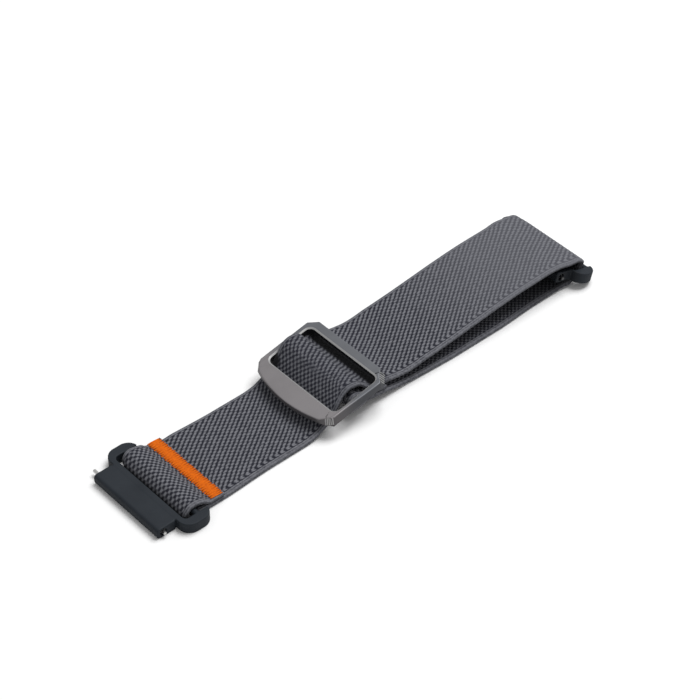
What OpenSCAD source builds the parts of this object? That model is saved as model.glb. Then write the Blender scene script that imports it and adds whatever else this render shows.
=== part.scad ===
// Elastic webbing watch strap with two quick-release connectors and a sliding buckle.
// X runs along the strap from the near connector, Y across it and Z up from the table.
// The origin lies on the table, straight under the axis of the near spring bar.
// Lengths are in millimetres.

/* [Webbing] */
// Width of the webbing
web_w = 21.4; // [18:0.1:24]
// Thickness of one layer of webbing
web_t = 1.2; // [1:0.05:1.4]
// Air between two layers that lie on each other
layer_gap = 0.1; // [0.05:0.05:0.2]
// Length of the sewn flap behind the near ring's bar
flap_l = 8.2; // [8:0.1:12]
// Length of the doubled end behind the slider's centre bar
tail_l = 8.9; // [6:0.1:9]

/* [Connectors] */
// Width of the lug block
block_w = 22; // [20:0.1:24]
// Length of the lug block along the strap
block_l = 4.8; // [4.2:0.1:5.4]
// Height of the lug block
block_h = 2.6; // [2.4:0.05:3]
// Radius of the lug block's rounded nose edges
nose_r = 0.8; // [0.3:0.05:1.1]
// Distance of the spring bar's axis from the block's front
bore_setback = 1.7; // [1.5:0.05:2.2]
// Height of the spring bar's axis over the block's underside
bore_z = 1.25; // [1.15:0.05:1.4]
// Diameter of the rings' bars
bar_d = 1.4; // [1.2:0.05:1.6]
// Radius of the rings' outer corners
ring_r = 2.9; // [1.5:0.1:2.95]

/* [Near ring] */
// Play between the ring's side arms and the webbing, on each side
near_ring_play = 1.5; // [0.8:0.05:1.8]
// Width of the ring's side arms
near_arm_w = 2.4; // [1.8:0.1:3]
// Length of the ring behind the block
near_ring_l = 7.8; // [7.2:0.1:9]
// Width of the ledge between the block and the ring's slot
near_ledge_l = 1.65; // [1:0.05:1.8]
// Distance of the bar's outer side from the ring's outer end
near_bar_inset = 2.2; // [1.6:0.05:2.6]

/* [Far ring] */
// Play between the ring's side arms and the webbing, on each side
far_ring_play = 0.7; // [0.3:0.05:1]
// Width of the ring's side arms
far_arm_w = 2.6; // [1.8:0.1:3]
// Length of the ring behind the block
far_ring_l = 6.1; // [6:0.1:7]
// Width of the ledge between the block and the ring's slot
far_ledge_l = 0.4; // [0.3:0.05:0.5]
// Distance of the bar's outer side from the ring's outer end
far_bar_inset = 0.6; // [0.4:0.05:0.8]

/* [Spring bars] */
// Outer diameter of the spring bar's tube
tube_d = 1.6; // [1.5:0.05:1.7]
// Play between the tube and its bore, on each side
tube_play = 0.05; // [0.02:0.01:0.08]
// Wall of the tube
tube_wall = 0.2; // [0.15:0.01:0.25]
// Depth of the tube's ends inside the block's end faces
tube_recess = 0.7; // [0.5:0.05:1]
// Diameter of the pin tips that enter the lugs
tip_d = 0.8; // [0.7:0.02:0.84]
// Length of the release pin's tip outside the block
release_tip_l = 2.2; // [2:0.1:2.6]
// Length of the plain pin's tip outside the block
plain_tip_l = 0.6; // [0.4:0.1:1]
// Travel of the release pin
release_travel = 1.9; // [1.5:0.1:2]
// Distance of the release lever from the block's end face
lever_setback = 3.5; // [3:0.1:4]
// Diameter of the release lever
lever_d = 0.7; // [0.6:0.05:0.75]

/* [Slider] */
// Distance of the slider's centre bar from the near spring bar
slider_x = 53.6; // [52:0.5:60]
// Height of the slider's centre bar over the table
slider_z = 4.4; // [4.2:0.1:5]
// Tilt of the slider, its far side up
slider_tilt = 11; // [9:0.5:12]
// Length of the slider's window along the strap
window_l = 12.8; // [12.4:0.1:13.6]
// Play between the slider's rails and the webbing, on each side
rail_play = 0.65; // [0.5:0.05:1]
// Width of the slider's side rails
rail_w = 1.4; // [1.2:0.1:2]
// Height of the slider's side rails
rail_h = 2.1; // [1.8:0.1:2.4]
// Width of the slider's front bar at its ends
front_bar_l = 3.1; // [2.8:0.1:4]
// Bow of the front bar's outer edge
front_bow = 2; // [0.5:0.1:2.4]
// Fall of the front bar's outer edge
front_drop = 0.2; // [0.05:0.05:0.4]
// Width of the slider's rear bar
rear_bar_l = 2.3; // [2:0.1:3]
// Thickness of the front and rear bars
bar_t = 1.5; // [1.3:0.1:1.6]
// Chamfer of the slider's front corners
front_chamfer = 1.4; // [0.8:0.1:2]
// Chamfer of the slider's rear corners
rear_chamfer = 2; // [1:0.1:2.4]
// Diameter of the slider's centre bar
centre_bar_d = 1.5; // [1.4:0.05:1.6]
// Height of the slider's top face over the centre bar's axis
top_over_bar = 2.85; // [2.8:0.05:3.1]

/* [Loop] */
// Length of the loop from the slider's centre bar to the far ring's end
loop_l = 71.6; // [68:0.2:90]
// Height of the far ring's end over the table, at mid height of the ring
far_z = 1.77; // [1.7:0.01:2]
// Droop of the far connector, its ring end down
far_droop = 17; // [15:0.5:18]
// Height of the upper run's middle line over the table at its lowest point
upper_low = 3.75; // [3.7:0.05:4]

/* [Stitching] */
// Width of the orange bar tack along the strap
tack_l = 3.5; // [3:0.1:4]
// Height of the stitching over the webbing
tack_t = 0.25; // [0.2:0.05:0.5]
// Distance of the stitching's ends from the webbing's edges
tack_inset = 0.3; // [0.1:0.1:1]
// Width of the stitching on the doubled end along the strap
end_stitch_l = 2; // [1.5:0.1:2.4]
// Height of the stitching on the doubled end
end_stitch_t = 0.15; // [0.1:0.05:0.2]

/* [Hidden] */

fine = 48;
small = 0.01;
wrap_gap = 0.05;
thread_gap = 0.03;

// Connector, in its own frame: X from the spring bar's axis, Z from the block's underside
block_front = -bore_setback;
block_rear = block_l - bore_setback;
near_end = block_rear + near_ring_l;
bar_x = near_end - near_bar_inset - bar_d / 2;
far_end = block_rear + far_ring_l;
bar_z = web_t + wrap_gap + bar_d / 2;
ring_h = bar_z + bar_d / 2;
slot_corner_r = 1;
near_neck_l = 0.3;

// Spring bar, along Y
bore_d = tube_d + 2 * tube_play;
tube_half = block_w / 2 - tube_recess;
tube_bore_d = tube_d - 2 * tube_wall;
collar_t = 0.4;
collar_play = 0.05;
neck_d = tip_d + 0.04;
head_play = 0.05;
head_d = tube_bore_d - 2 * head_play;
head_end = tube_half - collar_t - wrap_gap;
lever_y = block_w / 2 - lever_setback;
release_head_l = head_end - lever_y + 1.65;
plain_head_l = 2;
lever_clearance = 0.12;
lever_foot_z = 0.12;
tip_chamfer = 0.15;
stop_half = 0.25;
window_half_x = 0.75;
coil_wire_d = 0.18;
coil_turns = 9;
coil_end_gap = 0.05;

// Slider, in its own frame: X from the centre bar's axis along the tilted frame, Z from that axis
window_half = window_l / 2;
rail_inner = web_w / 2 + rail_play;
rail_outer = rail_inner + rail_w;
window_r = 1.5;
front_edge = -window_half - front_bar_l;
rear_edge = window_half + rear_bar_l;
lug_half = 2;
lug_t = 0.8;
lug_play = 0.25;
lug_drop = 0.25;
rail_corner_cut = 0.8;

// Turning radii of the webbing's middle line
near_wrap_r = bar_d / 2 + wrap_gap + web_t / 2;
end_wrap_r = centre_bar_d / 2 + wrap_gap + web_t / 2;
hump_r = end_wrap_r + web_t + layer_gap;

// Where the far connector stands
far_x = slider_x + loop_l;

function unit(v) = v / norm(v);
function turned(p, a) = [p.x * cos(a) - p.y * sin(a), p.x * sin(a) + p.y * cos(a)];
function arc(centre, r, a0, a1, n) = [for (i = [0:n]) let (a = a0 + (a1 - a0) * i / n)
    centre + r * [cos(a), sin(a)]];

// A point of the slider's own frame, in the part's X and Z
function on_slider(u, w) = [slider_x, slider_z] + turned([u, w], slider_tilt);
// A point of the far connector's own frame, in the part's X and Z
function on_far(x, z) = [far_x, far_z] + turned([x - far_end, z - ring_h / 2], -far_droop);

// The middle line of the whole webbing, from the sewn flap round the near bar, under the slider's
// front bar, over the centre bar, through the far ring and back round the centre bar to the tail
centre_bar = [slider_x, slider_z];
table_line = web_t / 2;
flap_line = table_line + web_t + layer_gap / 2;
flap_end = bar_x + flap_l;
near_bar_at = [bar_x, bar_z];
wrap_steps = 9;
run_climb = 10.2;
under_front = window_half + 0.4;
hump_steps = 4;
fall_l = 20;
fall_steps = 6;
fall_h = slider_z - end_wrap_r - table_line;
upper_from = slider_x + 14.4;
upper_to = far_x - 15;
upper_high = far_z + 5.03;
function upper_at(f) = [upper_from + (upper_to - upper_from) * f,
    upper_low + (upper_high - upper_low) * (1 - cos(180 * f)) / 2];
tail_lift = web_t + layer_gap;
function fall_z(d) = table_line + fall_h * (1 + cos(180 * min(1, d / fall_l))) / 2;

flap_route = [[flap_end, flap_line], [flap_end - tack_l - 0.2, flap_line],
    [bar_x + 2.9, flap_line + 0.75], [bar_x + 1.4, bar_z + near_wrap_r - 0.16]];
near_wrap = arc(near_bar_at, near_wrap_r, 90, 270, wrap_steps);
near_table = [[bar_x + 2.2, table_line], [flap_end, table_line], [(flap_end + slider_x - 16.6) / 2, table_line],
    [slider_x - 16.6, table_line]];
climb = [[slider_x - 13, table_line + 0.12], [slider_x - run_climb, table_line + 0.65],
    [slider_x - 8.1, table_line + 1.65], on_slider(-under_front, 0.3)];
hump = arc(centre_bar, hump_r, 110 + slider_tilt, 62 + slider_tilt, hump_steps);
behind_slider = [on_slider(4.5, 0.75), on_slider(window_half + 1.4, -0.95), [slider_x + 10.9, upper_low + 0.5]];
upper_steps = 6;
upper = [for (i = [0:upper_steps]) upper_at(i / upper_steps)];
over_block = [on_far(block_front + 0.3, block_h + web_t / 2 + 0.2), on_far(block_rear - 1.6, block_h + web_t / 2 + 0.7),
    on_far(block_rear + 1.8, block_h + web_t / 2 + 0.65), on_far(block_rear + 2.75, block_h + web_t / 2 - 0.1)];
through_slot = [on_far(block_rear + 2.95, 1.9), on_far(block_rear + 2.4, 0.75)];
under_block = [[far_x - 5.7, table_line + 0.72], [far_x - 8, table_line + 0.38], [far_x - 11.5, table_line + 0.2],
    [far_x - 15.5, table_line + 0.06], [far_x - 21, table_line]];
lower_flat = [[slider_x + fall_l + 8, table_line]];
fall = [for (i = [fall_steps:-1:1]) [slider_x + fall_l * i / fall_steps, fall_z(fall_l * i / fall_steps)]];
end_wrap = arc(centre_bar, end_wrap_r, 270, 50, wrap_steps);
tail_xs = [4.4, 6.4, tail_l];
tail = [for (d = tail_xs) [slider_x + d, fall_z(d) + tail_lift + 0.04]];

route = concat(flap_route, near_wrap, near_table, climb, hump, behind_slider, upper, over_block, through_slot,
    under_block, lower_flat, fall, end_wrap, tail);

// Places in the route where one named stretch of webbing ends and the next begins
at_near_run = len(flap_route) + len(near_wrap) + 1;
at_climb = at_near_run + 3;
at_hump = at_climb + 2;
at_upper = at_climb + len(climb) + len(hump) + 2;
at_fold = at_upper + len(upper);
at_lower = at_fold + len(over_block) + len(through_slot) + 4;
at_sewn_end = at_lower + len(lower_flat) + 1 + 3;
at_end = len(route) - 1;

// Heading along the route at point i, level where the route is level on one side of the point
function level(d) = abs(d.y) < 0.001;
function heading(p, i) = i == 0 ? unit(p[1] - p[0])
    : i == len(p) - 1 ? unit(p[i] - p[i - 1])
    : let (before = p[i] - p[i - 1], after = p[i + 1] - p[i], a = norm(before), b = norm(after))
        level(before) ? unit(before)
        : level(after) ? unit(after)
        : (before * b / a + after * a / b) / (a + b);
// A point and its heading a share s of the way from route point i to the next
function along(p, i, s) = let (
        d = norm(p[i + 1] - p[i]),
        m0 = heading(p, i) * d,
        m1 = heading(p, i + 1) * d)
    [p[i] * (2 * s ^ 3 - 3 * s ^ 2 + 1) + m0 * (s ^ 3 - 2 * s ^ 2 + s)
        + p[i + 1] * (3 * s ^ 2 - 2 * s ^ 3) + m1 * (s ^ 3 - s ^ 2),
     unit(p[i] * (6 * s ^ 2 - 6 * s) + m0 * (3 * s ^ 2 - 4 * s + 1)
        + p[i + 1] * (6 * s - 6 * s ^ 2) + m1 * (3 * s ^ 2 - 2 * s))];
longest_step = 1.8;
function smooth(p, i0, i1) = concat(
    [for (i = [i0:i1 - 1]) let (n = ceil(norm(p[i + 1] - p[i]) / longest_step))
        for (k = [0:n - 1]) along(p, i, k / n)],
    [along(p, i1 - 1, 1)]);
function sides(line, off) = [for (q = line) q[0] + off * [-q[1].y, q[1].x]];

whole_line = smooth(route, 0, at_end);
echo(webbing_length = route_length(whole_line));
function route_length(line, i = 0) = i >= len(line) - 1 ? 0
    : norm(line[i + 1][0] - line[i][0]) + route_length(line, i + 1);

// One stretch of webbing between two places of the route
module webbing(i0, i1) {
    line = smooth(route, i0, i1);
    upper_side = sides(line, web_t / 2);
    lower_side = sides(line, -web_t / 2);
    outline = concat(upper_side, [for (i = [len(lower_side) - 1:-1:0]) lower_side[i]]);
    color("dimgray")
        rotate([90, 0, 0])
            linear_extrude(web_w, center = true)
                polygon(outline);
}

// A round bar along Y between two places
module y_bar(d, y0, y1) {
    translate([0, y1, 0])
        rotate([90, 0, 0])
            cylinder(d = d, h = y1 - y0, $fn = fine);
}

// Places its children at the far connector
module at_far() {
    translate([far_x, 0, far_z])
        rotate([0, far_droop, 0])
            translate([-far_end, 0, -ring_h / 2])
                children();
}

module block() {
    nose_x = block_front + nose_r;
    translate([nose_x, -block_w / 2, 0])
        cube([block_rear - nose_x, block_w, block_h]);
    translate([block_front, -block_w / 2, nose_r])
        cube([nose_r + small, block_w, block_h - 2 * nose_r]);
    for (z = [nose_r, block_h - nose_r])
        translate([nose_x, 0, z])
            y_bar(2 * nose_r, -block_w / 2, block_w / 2);
}

// A flat rectangle with round corners, from x0 to x1 and half wide on each side of the middle
module round_rectangle(x0, x1, half, r) {
    translate([x0 + r, -half])
        square([x1 - x0 - 2 * r, 2 * half]);
    translate([x0, -half + r])
        square([x1 - x0, 2 * half - 2 * r]);
    for (x = [x0 + r, x1 - r], y = [-half + r, half - r])
        translate([x, y])
            circle(r, $fn = fine);
}

// The ring from start to its end, length behind the block, with its slot and its bar
module ring(start, length, ledge_l, play, arm_w, inset) {
    x0 = block_rear + start - small;
    x1 = block_rear + length;
    slot_half = web_w / 2 + play;
    difference() {
        linear_extrude(ring_h)
            round_rectangle(x0, x1, slot_half + arm_w, ring_r);
        translate([0, 0, -1])
            linear_extrude(ring_h + 2)
                round_rectangle(block_rear + ledge_l, x1 + 2 * slot_corner_r, slot_half, slot_corner_r);
    }
    translate([x1 - inset - bar_d / 2, 0, bar_z])
        y_bar(bar_d, -slot_half - arm_w / 2, slot_half + arm_w / 2);
}

// The neck between the near block and its ring
module near_neck() {
    translate([block_rear - small, -block_w / 2 + near_neck_l, 0])
        cube([near_neck_l + 2 * small, block_w - 2 * near_neck_l, block_h]);
}

// A connector whose ring its children draw
module connector_body() {
    color("#33363d")
        difference() {
            union() {
                block();
                children();
            }
            translate([0, 0, bore_z])
                y_bar(bore_d, -block_w / 2 - 1, block_w / 2 + 1);
            lever_window(window_half_x, 2 * lever_clearance);
        }
}

// The cut that lets the release lever travel
module lever_window(half_x, clearance) {
    y0 = lever_y - release_travel - lever_d / 2 - clearance;
    y1 = lever_y + lever_d / 2 + clearance;
    translate([-half_x, y0, -1])
        cube([2 * half_x, y1 - y0, bore_z - 0.3 + 1]);
}

module near_connector_body() {
    connector_body() {
        near_neck();
        ring(near_neck_l, near_ring_l, near_ledge_l, near_ring_play, near_arm_w, near_bar_inset);
    }
}

module far_connector_body() {
    at_far()
        connector_body()
            ring(0, far_ring_l, far_ledge_l, far_ring_play, far_arm_w, far_bar_inset);
}

module spring_bar_tube() {
    color("silver")
        difference() {
            translate([0, 0, bore_z])
                difference() {
                    y_bar(tube_d, -tube_half, tube_half);
                    y_bar(tube_bore_d, stop_half, tube_half - collar_t);
                    y_bar(tube_bore_d, -tube_half + collar_t, -stop_half);
                    y_bar(neck_d + 2 * collar_play, tube_half - collar_t - 1, tube_half + 1);
                    y_bar(neck_d + 2 * collar_play, -tube_half - 1, -tube_half + collar_t + 1);
                }
            lever_window(lever_d / 2 + lever_clearance, lever_clearance);
        }
}

// A round bar along Y that tapers from y0 to y1
module y_cone(d0, d1, y0, y1) {
    translate([0, y0, 0])
        rotate([-90, 0, 0])
            cylinder(d1 = d0, d2 = d1, h = y1 - y0, $fn = fine);
}

// A pin with its head in the tube, its tapered neck in the collar and its tip outside the block
module tipped_pin(head_l, tip_l) {
    tip_end = block_w / 2 + tip_l;
    color("silver")
        translate([0, 0, bore_z]) {
            y_bar(head_d, head_end - head_l, head_end);
            y_cone(neck_d, tip_d, head_end - small, block_w / 2);
            y_bar(tip_d, block_w / 2 - small, tip_end - tip_chamfer);
            y_cone(tip_d, tip_d - 2 * tip_chamfer, tip_end - tip_chamfer, tip_end);
        }
}

module release_pin() {
    tipped_pin(release_head_l, release_tip_l);
}

module plain_pin() {
    mirror([0, 1, 0])
        tipped_pin(plain_head_l, plain_tip_l);
}

module release_lever() {
    color("silver")
        difference() {
            translate([0, lever_y, lever_foot_z])
                cylinder(d = lever_d, h = bore_z - lever_foot_z, $fn = fine);
            translate([0, 0, bore_z])
                y_bar(head_d + small, lever_y - lever_d, lever_y + lever_d);
        }
}

// The coil between the tube's middle stop and the release pin's head, one unbroken helix
coil_sides = 6;
coil_steps = 10;
coil_y0 = stop_half + coil_end_gap;
coil_y1 = head_end - release_head_l - coil_end_gap;
coil_r = head_d / 2 - coil_wire_d / 2;
coil_rings = coil_turns * coil_steps;
coil_pitch = (coil_y1 - coil_y0 - coil_wire_d) / coil_turns;
echo(coil_gap = coil_pitch - coil_wire_d);
function coil_at(i) = let (a = 360 * i / coil_steps)
    [coil_r * cos(a), coil_y0 + coil_wire_d / 2 + coil_pitch * i / coil_steps, coil_r * sin(a)];
function coil_ring(i) = let (a = 360 * i / coil_steps)
    [for (k = [0:coil_sides - 1]) let (b = 360 * k / coil_sides)
        coil_at(i) + coil_wire_d / 2 * (cos(b) * [cos(a), 0, sin(a)] + sin(b) * [0, 1, 0])];

module spring_bar_coil() {
    points = [for (i = [0:coil_rings]) each coil_ring(i)];
    skin = [for (i = [0:coil_rings - 1], k = [0:coil_sides - 1]) let (
            a = i * coil_sides + k,
            b = i * coil_sides + (k + 1) % coil_sides)
        each [[a, b, b + coil_sides], [a, b + coil_sides, a + coil_sides]]];
    first = [for (k = [1:coil_sides - 2]) [0, k + 1, k]];
    last = [for (k = [1:coil_sides - 2]) coil_rings * coil_sides * [1, 1, 1] + [0, k, k + 1]];
    color("silver")
        translate([0, 0, bore_z])
            polyhedron(points, concat(skin, first, last));
}

// Places its children in the slider's own frame
module at_slider() {
    translate([slider_x, 0, slider_z])
        rotate([0, -slider_tilt, 0])
            children();
}

// The slider seen from above, with a bowed front edge and cut corners
module slider_outline() {
    corner = rail_outer - front_chamfer;
    bow_steps = 12;
    bow = [for (i = [0:bow_steps]) let (y = corner * (1 - 2 * i / bow_steps))
        [front_edge - front_bow * (1 - (y / corner) ^ 2), y]];
    polygon(concat(bow, [
        [front_edge + front_chamfer, -rail_outer],
        [rear_edge - rear_chamfer, -rail_outer],
        [rear_edge, -rail_outer + rear_chamfer],
        [rear_edge, rail_outer - rear_chamfer],
        [rear_edge - rear_chamfer, rail_outer],
        [front_edge + front_chamfer, rail_outer],
    ]));
}

// The slider seen from the side
module slider_side() {
    top = top_over_bar;
    rail_low = top - rail_h;
    tip = front_edge - front_bow;
    polygon([
        [tip, top - front_drop],
        [-window_half, top],
        [rear_edge, top],
        [rear_edge, top - bar_t],
        [rear_edge - rail_corner_cut, rail_low],
        [front_edge + rail_corner_cut, rail_low],
        [tip, top - front_drop - bar_t],
    ]);
}

// The two thin lugs inside the rails that carry the centre bar, seen from the side
module lug_side() {
    low = -centre_bar_d / 2 - lug_drop;
    high = top_over_bar - rail_h + 0.5;
    polygon([[-lug_half, low], [lug_half, low], [lug_half + 1, high], [-lug_half - 1, high]]);
}

module slider_frame() {
    deep = top_over_bar + centre_bar_d + 2 * lug_drop;
    color("#8b8a88")
        at_slider() {
            difference() {
                intersection() {
                    translate([0, 0, top_over_bar - deep])
                        linear_extrude(deep)
                            slider_outline();
                    rotate([90, 0, 0])
                        linear_extrude(2 * rail_outer, center = true)
                            slider_side();
                }
                translate([0, 0, -deep])
                    linear_extrude(3 * deep)
                        round_rectangle(-window_half, window_half, rail_inner, window_r);
                rotate([90, 0, 0])
                    linear_extrude(2 * rail_inner, center = true)
                        under_bars();
            }
            for (side = [-1, 1])
                translate([0, side * (web_w / 2 + lug_play + lug_t / 2), 0])
                    rotate([90, 0, 0])
                        linear_extrude(lug_t, center = true)
                            lug_side();
            y_bar(centre_bar_d, -web_w / 2 - lug_play - lug_t / 2, web_w / 2 + lug_play + lug_t / 2);
        }
}

// The space under the front and rear bars seen from the side, which leaves them their thickness
module under_bars() {
    low = -top_over_bar;
    under = top_over_bar - bar_t;
    tip = front_edge - front_bow;
    polygon([
        [tip - 1, low],
        [tip - 1, under - front_drop],
        [tip, under - front_drop],
        [-window_half, under],
        [-window_half + window_r, under + window_r],
        [window_half - window_r, under + window_r],
        [window_half, under],
        [rear_edge + 1, under],
        [rear_edge + 1, low],
    ]);
}

module orange_bar_tack() {
    half = web_w / 2 - tack_inset;
    color("darkorange")
        translate([flap_end - tack_l, -half, flap_line + web_t / 2 + thread_gap])
            cube([tack_l, 2 * half, tack_t]);
}

// Flat stitching under the doubled end, where it holds the tail just before its end
module slider_end_stitching() {
    half = web_w / 2 - tack_inset;
    x1 = tail_l - 0.4;
    x0 = x1 - end_stitch_l;
    slope = atan2(fall_z(x1) - fall_z(x0), x1 - x0);
    color("dimgray")
        translate([slider_x + x0, 0, fall_z(x0)])
            rotate([0, -slope, 0])
                translate([0, -half, -web_t / 2 - end_stitch_t - thread_gap])
                    cube([end_stitch_l, 2 * half, end_stitch_t]);
}

near_connector_body();
spring_bar_tube();  // near_spring_bar_tube
spring_bar_coil();  // near_spring_bar_coil
release_pin();  // near_release_pin
release_lever();  // near_release_lever
plain_pin();  // near_plain_pin
webbing(0, at_near_run);  // near_flap
webbing(at_near_run, at_hump);  // near_run
orange_bar_tack();
slider_frame();
webbing(at_hump, at_upper);  // slider_hump
webbing(at_sewn_end, at_end);  // slider_sewn_end
slider_end_stitching();
webbing(at_upper, at_fold);  // upper_run
webbing(at_fold, at_lower);  // far_fold
webbing(at_lower, at_sewn_end);  // lower_run
far_connector_body();
at_far() spring_bar_tube();  // far_spring_bar_tube
at_far() spring_bar_coil();  // far_spring_bar_coil
at_far() release_pin();  // far_release_pin
at_far() release_lever();  // far_release_lever
at_far() plain_pin();  // far_plain_pin
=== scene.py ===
import math

import bmesh
import bpy
import numpy as np
from mathutils import Matrix, Vector


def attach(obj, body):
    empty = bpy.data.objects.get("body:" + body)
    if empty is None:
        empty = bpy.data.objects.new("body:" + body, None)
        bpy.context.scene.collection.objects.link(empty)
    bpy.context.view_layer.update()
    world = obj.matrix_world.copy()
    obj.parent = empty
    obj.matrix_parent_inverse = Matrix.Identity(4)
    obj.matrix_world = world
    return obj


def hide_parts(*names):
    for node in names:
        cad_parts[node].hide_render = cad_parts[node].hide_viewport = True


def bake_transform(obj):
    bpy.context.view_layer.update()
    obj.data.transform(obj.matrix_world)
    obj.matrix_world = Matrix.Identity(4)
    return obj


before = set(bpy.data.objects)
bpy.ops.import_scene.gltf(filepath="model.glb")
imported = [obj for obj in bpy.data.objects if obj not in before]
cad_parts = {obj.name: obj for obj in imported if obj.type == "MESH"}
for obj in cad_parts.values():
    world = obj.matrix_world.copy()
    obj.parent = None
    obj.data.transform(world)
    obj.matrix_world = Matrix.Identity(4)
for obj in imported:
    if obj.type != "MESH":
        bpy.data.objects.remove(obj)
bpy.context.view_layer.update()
scene = bpy.context.scene
scene.view_settings.view_transform = "Standard"
MM = 0.001

# Camera, at the photograph's viewing angle
elevation = math.radians(42.37)
heading = math.radians(40.98)
roll = math.radians(-0.51)
target = Vector((66.81, 6.45, 0)) * MM
distance = 540.18 * MM
FOCAL_PIXELS = 2393.5
IMAGE_PIXELS = 700
SENSOR = 36
forward = Vector((math.sin(heading) * math.cos(elevation), math.cos(heading) * math.cos(elevation),
                  -math.sin(elevation)))
side = Vector((math.cos(heading), -math.sin(heading), 0))
above = side.cross(forward)
cam_x = side * math.cos(roll) + above * math.sin(roll)
cam_y = above * math.cos(roll) - side * math.sin(roll)
camera_data = bpy.data.cameras.new("camera")
camera_data.sensor_width = SENSOR
camera_data.lens = FOCAL_PIXELS * SENSOR / IMAGE_PIXELS
camera_data.clip_start = 0.01
camera = bpy.data.objects.new("camera", camera_data)
scene.collection.objects.link(camera)
camera.matrix_world = Matrix.Translation(target - forward * distance) @ Matrix(
    (cam_x, cam_y, -forward)).transposed().to_4x4()
scene.camera = camera


# Shader helpers
class Nodes:
    """A material's node tree, with short calls that return output sockets."""

    def __init__(self, name):
        self.material = bpy.data.materials.new(name)
        self.material.use_nodes = True
        self.tree = self.material.node_tree
        self.shader = self.tree.nodes["Principled BSDF"]

    def new(self, kind, **values):
        node = self.tree.nodes.new(kind)
        for key, value in values.items():
            setattr(node, key, value)
        return node

    def put(self, value, socket):
        if isinstance(value, bpy.types.NodeSocket):
            self.tree.links.new(value, socket)
        else:
            socket.default_value = value

    def math(self, operation, *values):
        node = self.new("ShaderNodeMath", operation=operation)
        for value, socket in zip(values, node.inputs):
            self.put(value, socket)
        return node.outputs[0]

    def blend(self, factor, a, b):
        node = self.new("ShaderNodeMix", data_type="RGBA")
        self.put(factor, node.inputs["Factor"])
        self.put((*a, 1) if isinstance(a, tuple) else a, node.inputs[6])
        self.put((*b, 1) if isinstance(b, tuple) else b, node.inputs[7])
        return node.outputs[2]

    def spread(self, value, low, high, out_low, out_high, smooth=False):
        node = self.new("ShaderNodeMapRange", interpolation_type="SMOOTHSTEP" if smooth else "LINEAR")
        for v, socket in zip((value, low, high, out_low, out_high), node.inputs):
            self.put(v, socket)
        return node.outputs[0]

    def attribute(self, name):
        return self.new("ShaderNodeAttribute", attribute_name=name)

    def place(self):
        return self.new("ShaderNodeTexCoord").outputs["Object"]

    def noise(self, scale, detail, roughness=0.5):
        node = self.new("ShaderNodeTexNoise")
        self.put(self.place(), node.inputs["Vector"])
        node.inputs["Scale"].default_value = scale
        node.inputs["Detail"].default_value = detail
        node.inputs["Roughness"].default_value = roughness
        return node.outputs["Fac"]

    def bump(self, height, distance, strength):
        node = self.new("ShaderNodeBump")
        node.inputs["Strength"].default_value = strength
        node.inputs["Distance"].default_value = distance
        self.put(height, node.inputs["Height"])
        return node.outputs["Normal"]

    def finish(self, **values):
        for name, value in values.items():
            socket = self.shader.inputs[name.replace("_", " ")]
            self.put((*value, 1) if isinstance(value, tuple) else value, socket)
        return self.material


def plastic():
    """Matt blue-black plastic, with painted shade where the mesh's shade attribute is set."""
    n = Nodes("blue_black_plastic")
    dark, light, black = (0.015, 0.0192, 0.0256), (0.0205, 0.0255, 0.0328), (0.003, 0.004, 0.006)
    fine = n.noise(7000, 3)
    broad = n.noise(160, 2)
    colour = n.blend(n.spread(broad, 0.3, 0.7, 0, 1), dark, light)
    # Painted shade: blended towards near black by the shade attribute
    colour = n.blend(n.attribute("shade").outputs["Fac"], colour, black)
    n.shader.inputs["Specular IOR Level"].default_value = 0.2
    return n.finish(Base_Color=colour, Roughness=n.spread(fine, 0.3, 0.7, 0.52, 0.66),
                    Normal=n.bump(fine, 0.00003, 0.6))


def steel(name, colour):
    """Turned steel, a little uneven in its gloss."""
    n = Nodes(name)
    fine = n.noise(6000, 2)
    return n.finish(Base_Color=colour, Metallic=1.0, Roughness=n.spread(fine, 0.3, 0.7, 0.22, 0.34))


def metal(name, rear_shaded, front_lit, bright, roughness):
    """Satin metal with painted light that makes it lighter and warmer at the front bar, painted shade on its
    walls and outer sides, and brighter and smoother where the mesh is marked as polished.
    """
    n = Nodes(name)
    fine = n.noise(7000, 3)
    broad = n.noise(120, 2)
    polish = n.attribute("polish").outputs["Fac"]
    painted_wall_shade = n.attribute("painted_wall_shade").outputs["Fac"]
    # Painted light: lighter and warmer towards the front bar
    colour = n.blend(n.attribute("front").outputs["Fac"], rear_shaded, front_lit)
    colour = n.blend(n.spread(broad, 0.35, 0.65, 0, 0.14), colour, (0, 0, 0))
    # Painted shade: darker on the window's wall and, at half strength, on the outer sides and lower edge
    colour = n.blend(n.math("MULTIPLY", painted_wall_shade, 0.9), colour, (0.01, 0.01, 0.012))
    grain = n.spread(fine, 0.3, 0.7, roughness - 0.05, roughness + 0.05)
    return n.finish(Base_Color=n.blend(polish, colour, bright), Metallic=0.6,
                    Roughness=n.math("SUBTRACT", grain, n.math("MULTIPLY", polish, 0.1)),
                    Normal=n.bump(fine, 0.00001, 0.4))


# The weave: ribs and dots to the millimetre along s and y
RIBS_S = 0.61
RIBS_Y = 0.89
DOTS_S = 0.80
DOTS_Y = 0.83

# Its other measures in millimetres, apart from LEAN, the share by which a rib straightens within its column
COLUMN = 0.58
LEAN = 0.42
SELVEDGE = 0.95
CORD = 0.48
CHEVRON = 1.5
# HUMP_FADE is the length over which the painted shade on the hump fades in and out
HUMP_FADE = 1.5


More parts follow.
